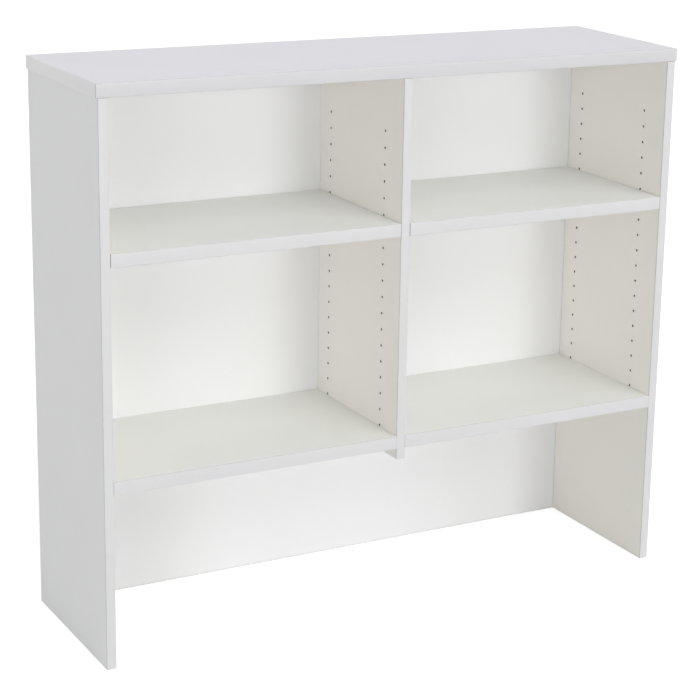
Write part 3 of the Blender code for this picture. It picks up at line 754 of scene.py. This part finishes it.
def cam_mesh():
    """A cam lock: its face is at z = 0, its bolt comes from +X, and its face has an arrow to the bolt."""
    chamfer = 0.4 * MM
    ease = 0.3 * chamfer
    half_head = BOLT_HEAD_RADIUS + SEAT_GAP
    head = math.hypot(BOLT_HEAD_RADIUS, BOLT_HEAD_LENGTH / 2) + SEAT_GAP
    neck = BOLT_NECK_RADIUS + SEAT_GAP
    reach = CAM_RADIUS + OVERCUT
    cross, cross_width, cross_depth = 9.0 * MM, 1.6 * MM, 2.0 * MM
    arrow_tip, arrow_back, arrow_half, arrow_depth = 6.8 * MM, 5.3 * MM, 0.9 * MM, 0.5 * MM

    def body(bm):
        rings = [
            (0, CAM_RADIUS - chamfer),
            (ease, CAM_RADIUS - ease),
            (chamfer, CAM_RADIUS),
            (CAM_LENGTH - chamfer, CAM_RADIUS),
            (CAM_LENGTH, CAM_RADIUS - chamfer),
        ]
        turned_rings(bm, rings, CAM_SIDES)
        turn = Matrix.Rotation(-math.pi / 2, 4, "Y")
        bmesh.ops.transform(bm, matrix=turn, verts=bm.verts)

    def entry(bm):
        add_box(bm, (-head, -reach, CAM_AXIS_DEPTH - half_head), (head, head, CAM_AXIS_DEPTH + half_head))

    def quarter(bm):
        add_box(bm, (0, -reach, CAM_AXIS_DEPTH - neck), (reach, neck, CAM_AXIS_DEPTH + neck))

    def arm(along, wide):
        def build(bm):
            low = Vector((-along / 2, -wide / 2, -OVERCUT))
            add_box(bm, low, (along / 2, wide / 2, cross_depth))

        return build

    def arrow(bm):
        points = ((arrow_tip, 0), (arrow_back, arrow_half), (arrow_back, -arrow_half))
        face = bm.faces.new([bm.verts.new((x, y, -OVERCUT)) for x, y in points])
        pulled = bmesh.ops.extrude_face_region(bm, geom=[face])["geom"]
        moved = [item for item in pulled if isinstance(item, bmesh.types.BMVert)]
        bmesh.ops.translate(bm, verts=moved, vec=Z * (OVERCUT + arrow_depth))
        bmesh.ops.recalc_face_normals(bm, faces=bm.faces)

    obj = shown("cam", mesh_from("cam", body, [CAST]))
    cuts = [entry, quarter, arm(cross, cross_width), arm(cross_width, cross), arrow]
    carve(obj, [(build, CAST) for build in cuts])
    mesh = obj.data
    round_shading(mesh)
    bpy.data.objects.remove(obj)
    return mesh


def bolt_end(joint):
    """A bolt's rings from its shaft at the joint to the head in the cam, along +X."""
    edge = 0.4 * MM
    head_start = joint + CAM_SETBACK - BOLT_HEAD_LENGTH / 2
    neck_start = joint + CAM_SETBACK - CAM_RADIUS - SEAT_GAP
    head_end = head_start + BOLT_HEAD_LENGTH
    return [
        (neck_start - edge, BOLT_SHAFT_RADIUS),
        (neck_start, BOLT_SHAFT_RADIUS - edge),
        (neck_start, BOLT_NECK_RADIUS),
        (head_start, BOLT_NECK_RADIUS),
        (head_start, BOLT_HEAD_RADIUS - edge),
        (head_start + edge, BOLT_HEAD_RADIUS),
        (head_end - 2 * edge, BOLT_HEAD_RADIUS),
        (head_end, BOLT_HEAD_RADIUS - 2 * edge),
    ]


def bolt_mesh():
    """A bolt along X: its joint is at x = 0, its thread at -X and its head in the cam at +X."""
    point = 1.2 * MM
    rings = [(-BOLT_THREAD_LENGTH, BOLT_THREAD_RADIUS - point)]
    rings += thread(-BOLT_THREAD_LENGTH + point / 2, -SEAT_GAP, BOLT_THREAD_RADIUS)
    rings += [(SEAT_GAP, BOLT_THREAD_RADIUS - THREAD_DEPTH), (SEAT_GAP, BOLT_SHAFT_RADIUS), *bolt_end(0)]
    mesh = mesh_from("cam_bolt", lambda bm: turned_rings(bm, rings), [PLATED])
    round_shading(mesh)
    return mesh


def divider_bolt_mesh():
    """A bolt through the divider, with a head at both ends."""
    half = bolt_end(DIVIDER_FACE)
    rings = [(-x, radius) for x, radius in reversed(half)] + half
    mesh = mesh_from("divider_bolt", lambda bm: turned_rings(bm, rings), [PLATED])
    round_shading(mesh)
    return mesh


def screw_mesh():
    """A countersunk screw along +X with a cross in its head."""
    point, edge, tip_radius = 6.0 * MM, 0.3 * MM, 0.15 * MM
    cross, width, depth = 5.0 * MM, 1.2 * MM, 1.8 * MM
    plain_share, taper = 0.35, 0.6
    root = SCREW_SHANK_RADIUS - THREAD_DEPTH
    plain_end = SCREW_LENGTH * plain_share
    rings = [
        (0, SCREW_HEAD_RADIUS - edge),
        (edge, SCREW_HEAD_RADIUS - edge / 2),
        (SCREW_HEAD_LENGTH, SCREW_SHANK_RADIUS - edge),
        (plain_end, root),
    ]
    rings += thread(plain_end + edge, SCREW_LENGTH - point, SCREW_SHANK_RADIUS)
    rings += [(SCREW_LENGTH - point / 2, root * taper), (SCREW_LENGTH, tip_radius)]
    obj = shown("screw", mesh_from("screw", lambda bm: turned_rings(bm, rings), [PLATED]))

    def slot(along_y):
        half_y, half_z = (cross / 2, width / 2) if along_y else (width / 2, cross / 2)
        return lambda bm: add_box(bm, (-OVERCUT, -half_y, -half_z), (depth, half_y, half_z))

    carve(obj, [(slot(True), PLATED), (slot(False), PLATED)])
    mesh = obj.data
    round_shading(mesh)
    bpy.data.objects.remove(obj)
    return mesh


def dowel_mesh():
    """A fluted dowel along Z, with its joint at z = 0."""
    low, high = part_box("dowel_centre")
    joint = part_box("top_panel")[0].z
    flutes, flute_depth, chamfer = 14, 0.25 * MM, 1.2 * MM

    def fluted(angle):
        return DOWEL_RADIUS - flute_depth * (0.5 - 0.5 * math.cos(angle * flutes))

    start, end = low.z - joint, high.z - joint
    rings = [
        (start, DOWEL_RADIUS - chamfer),
        (start + chamfer, fluted),
        (end - chamfer, fluted),
        (end, DOWEL_RADIUS - chamfer),
    ]
    mesh = mesh_from("dowel", lambda bm: turned_rings(bm, rings, flutes * FLUTE_SIDES), [BEECH])
    mesh.transform(Matrix.Rotation(-math.pi / 2, 4, "Y"))
    round_shading(mesh)
    return mesh


def pin_mesh():
    """A shelf pin bent from sheet, with a rib: the panel's face is at x = 0, and its peg runs to -X."""
    rise, drop, reach, wide = 3.7 * MM, 4.5 * MM, 9.0 * MM, 8.0 * MM
    sheet, bend, steps = 1.6 * MM, 1.4 * MM, 6
    peg_radius, peg_length, tip = 2.35 * MM, 7.5 * MM, 0.6 * MM
    rib_width, rib_inset = 2.0 * MM, 1.0 * MM
    soft, soft_steps = 0.25 * MM, 2

    def pull(bm, outline, width):
        face = bm.faces.new([bm.verts.new((x, -width / 2, z)) for x, z in outline])
        pulled = bmesh.ops.extrude_face_region(bm, geom=[face])["geom"]
        moved = [item for item in pulled if isinstance(item, bmesh.types.BMVert)]
        bmesh.ops.translate(bm, verts=moved, vec=Y * width)
        bmesh.ops.recalc_face_normals(bm, faces=bm.faces)

    def bracket(bm):
        corner = [
            (
                SEAT_GAP + bend - bend * math.sin(math.pi / 2 * step / steps),
                rise - bend + bend * math.cos(math.pi / 2 * step / steps),
            )
            for step in range(steps + 1)
        ]
        plate = SEAT_GAP + sheet
        outline = corner + [
            (SEAT_GAP, -drop),
            (plate, -drop),
            (plate, rise - sheet),
            (reach, rise - sheet),
            (reach, rise),
        ]
        pull(bm, outline, wide)
        sharp = [edge for edge in bm.edges if edge.calc_face_angle(0) > SMOOTH_ANGLE]
        soften(bm, sharp, soft, soft_steps)

    def rib(bm):
        start, top = SEAT_GAP + sheet / 2, rise - sheet / 2
        pull(bm, [(start, top), (start, rib_inset - drop), (reach - rib_inset, top)], rib_width)

    def peg(bm):
        rings = [
            (-peg_length, peg_radius - tip),
            (-peg_length + tip, peg_radius),
            (SEAT_GAP + sheet / 2, peg_radius),
        ]
        turned_rings(bm, rings, PEG_SIDES)

    obj = shown("pin", mesh_from("pin", bracket, [PLATED]))
    helpers = []
    for build in (rib, peg):
        mesh = mesh_from("joined", build, [PLATED])
        helpers.append(add_modifier(obj, "UNION", mesh, "INDEX"))
    settle(obj, helpers)
    mesh = obj.data
    round_shading(mesh)
    bpy.data.objects.remove(obj)
    return mesh


CAM, BOLT, DIVIDER_BOLT, SCREW, DOWEL, PIN = (
    cam_mesh(),
    bolt_mesh(),
    divider_bolt_mesh(),
    screw_mesh(),
    dowel_mesh(),
    pin_mesh(),
)
HALF_TURN = Matrix.Rotation(math.pi, 4, "Z").to_quaternion()
NO_TURN = Matrix.Identity(4).to_quaternion()
INNER_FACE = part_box("right_side_panel")[0].x
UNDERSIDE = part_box("lower_left_shelf")[0].z
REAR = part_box("back_panel")[1].y
TOP_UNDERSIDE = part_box("top_panel")[0].z

for side_name, side in SIDES.items():
    for end, y in zip(ENDS, COLUMNS):
        for place in ("outer", "inner"):
            node = f"shelf_cam_{side_name}_{place}_{end}"
            from_right = side > 0 if place == "outer" else side < 0
            spot = Vector((middle(node).x, y, UNDERSIDE))
            placed(node, CAM, spot, NO_TURN if from_right else HALF_TURN)
            node = f"shelf_pin_{side_name}_{place}_{end}"
            face = side * (INNER_FACE if place == "outer" else DIVIDER_FACE)
            placed(node, PIN, Vector((face, y, PIN_ROW)), HALF_TURN if from_right else NO_TURN)
        node = f"shelf_bolt_{side_name}_{end}"
        spot = Vector((side * INNER_FACE, y, UNDERSIDE + CAM_AXIS_DEPTH))
        placed(node, BOLT, spot, HALF_TURN if side > 0 else NO_TURN)
for end, y in zip(ENDS, COLUMNS):
    placed(f"divider_bolt_{end}", DIVIDER_BOLT, Vector((0, y, UNDERSIDE + CAM_AXIS_DEPTH)))
for place, outward in BACK_FITTINGS.items():
    centre = middle(f"back_cam_{place}")
    spot = Vector((centre.x, REAR, centre.z))
    placed(f"back_cam_{place}", CAM, spot, facing_turn(outward, -Y))
    if outward == Z:
        joint = Vector((centre.x, REAR - CAM_AXIS_DEPTH, TOP_UNDERSIDE))
    else:
        joint = Vector((outward.x * INNER_FACE, REAR - CAM_AXIS_DEPTH, centre.z))
    placed(f"back_bolt_{place}", BOLT, joint, facing_turn(-outward, -Y))
for height in HEIGHTS:
    centre = middle(f"back_screw_{height}")
    spot = Vector((centre.x, REAR, centre.z))
    placed(f"back_screw_{height}", SCREW, spot, (-Y).to_track_quat("X", "Z"))
for name in ("dowel_left", "dowel_centre", "dowel_right"):
    centre = middle(name)
    placed(name, DOWEL, Vector((centre.x, centre.y, TOP_UNDERSIDE)))


# Room, light and camera


def seen_directly(tree):
    """1 for the rays that show the room itself: straight from the camera, in gloss, or through glass."""
    path = tree.nodes.new("ShaderNodeLightPath")
    total = path.outputs["Is Camera Ray"]
    for name in ("Is Glossy Ray", "Is Transmission Ray"):
        add = tree.nodes.new("ShaderNodeMath")
        add.operation = "MAXIMUM"
        tree.links.new(total, add.inputs[0])
        tree.links.new(path.outputs[name], add.inputs[1])
        total = add.outputs[0]
    return total


FLOOR_REACH = 60.0
FLOOR_COLOUR = (0.74, 0.74, 0.74)
FLOOR_DROP = 0.1 * MM
FLOOR_ROUGHNESS = 0.9
FLOOR_LIFT = 0.60  # added to what the camera sees of the floor, so that it shows white where it is lit
DOME_STRENGTH = 0.40
SHOWN_STRENGTH = 1.0

floor_mesh = mesh_from(
    "floor",
    lambda bm: bmesh.ops.create_grid(bm, x_segments=1, y_segments=1, size=FLOOR_REACH),
    [bpy.data.materials.new("floor_paper")],
)
floor = shown("floor", floor_mesh)
floor.location = (0, 0, -FLOOR_DROP)
paper = floor_mesh.materials[0]
paper.use_nodes = True
paper_shader = paper.node_tree.nodes["Principled BSDF"]
paper_shader.inputs["Base Color"].default_value = (*FLOOR_COLOUR, 1)
paper_shader.inputs["Roughness"].default_value = FLOOR_ROUGHNESS
paper_shader.inputs["Specular IOR Level"].default_value = 0.0
paper_shader.inputs["Emission Color"].default_value = (*WHITE, 1)
lift = paper.node_tree.nodes.new("ShaderNodeMath")
lift.operation = "MULTIPLY"
lift.inputs[1].default_value = FLOOR_LIFT
paper.node_tree.links.new(seen_directly(paper.node_tree), lift.inputs[0])
paper.node_tree.links.new(lift.outputs[0], paper_shader.inputs["Emission Strength"])

world = bpy.data.worlds.new("studio")
bpy.context.scene.world = world
world.use_nodes = True
tree = world.node_tree
tree.nodes.clear()
dome, backdrop = (tree.nodes.new("ShaderNodeBackground") for _ in range(2))
for background, strength in ((dome, DOME_STRENGTH), (backdrop, SHOWN_STRENGTH)):
    background.inputs["Color"].default_value = (*WHITE, 1)
    background.inputs["Strength"].default_value = strength
choose = tree.nodes.new("ShaderNodeMixShader")
output = tree.nodes.new("ShaderNodeOutputWorld")
tree.links.new(seen_directly(tree), choose.inputs[0])
tree.links.new(dome.outputs[0], choose.inputs[1])
tree.links.new(backdrop.outputs[0], choose.inputs[2])
tree.links.new(choose.outputs[0], output.inputs["Surface"])


LAMP_DISTANCE = 5.0
COOL_WHITE = (0.92, 0.92, 1.0)


def soft_sun(name, azimuth, elevation, strength, spread, colour=WHITE):
    """A broad soft light. Angles are in degrees, and azimuth 0 comes from the front, 90 from the right."""
    around, above = math.radians(azimuth), math.radians(elevation)
    level = math.cos(above)
    towards = Vector((math.sin(around) * level, -math.cos(around) * level, math.sin(above)))
    data = bpy.data.lights.new(name, "SUN")
    data.energy = strength
    data.angle = math.radians(spread)
    data.color = colour
    lamp = bpy.data.objects.new(name, data)
    bpy.context.scene.collection.objects.link(lamp)
    lamp.rotation_mode = "QUATERNION"
    lamp.rotation_quaternion = towards.to_track_quat("Z", "Y")
    lamp.location = towards * LAMP_DISTANCE


soft_sun("low_right", azimuth=12, elevation=1, strength=0.96, spread=18)
soft_sun("far_right", azimuth=45, elevation=1, strength=0.65, spread=25)
soft_sun("low_left", azimuth=-40, elevation=1, strength=0.95, spread=20)
soft_sun("high_right", azimuth=25, elevation=45, strength=0.52, spread=40)
soft_sun("high_front", azimuth=0, elevation=45, strength=0.42, spread=40)
soft_sun("overhead", azimuth=0, elevation=88, strength=0.34, spread=24, colour=COOL_WHITE)
soft_sun("rear", azimuth=180, elevation=1, strength=1.1, spread=6)

# The photo's viewpoint, fitted with about a third of its crop's offset as shift
LENS = 105.051
SHIFT_X, SHIFT_Y = -0.115, -0.068
CAMERA_PLACE = (-1.82822, -3.38431, 1.62927)
CAMERA_TURN = (74.7638, -1.4845, -30.0317)  # degrees about X, Y and Z
NEAREST_SEEN, FURTHEST_SEEN = 0.1, 200

camera_data = bpy.data.cameras.new("camera")
camera_data.lens = LENS
camera_data.shift_x = SHIFT_X
camera_data.shift_y = SHIFT_Y
camera_data.clip_start = NEAREST_SEEN
camera_data.clip_end = FURTHEST_SEEN
camera = bpy.data.objects.new("camera", camera_data)
bpy.context.scene.collection.objects.link(camera)
camera.location = CAMERA_PLACE
camera.rotation_euler = Euler([math.radians(turn) for turn in CAMERA_TURN], "XYZ")
bpy.context.scene.camera = camera
bpy.context.scene.view_settings.view_transform = "Standard"
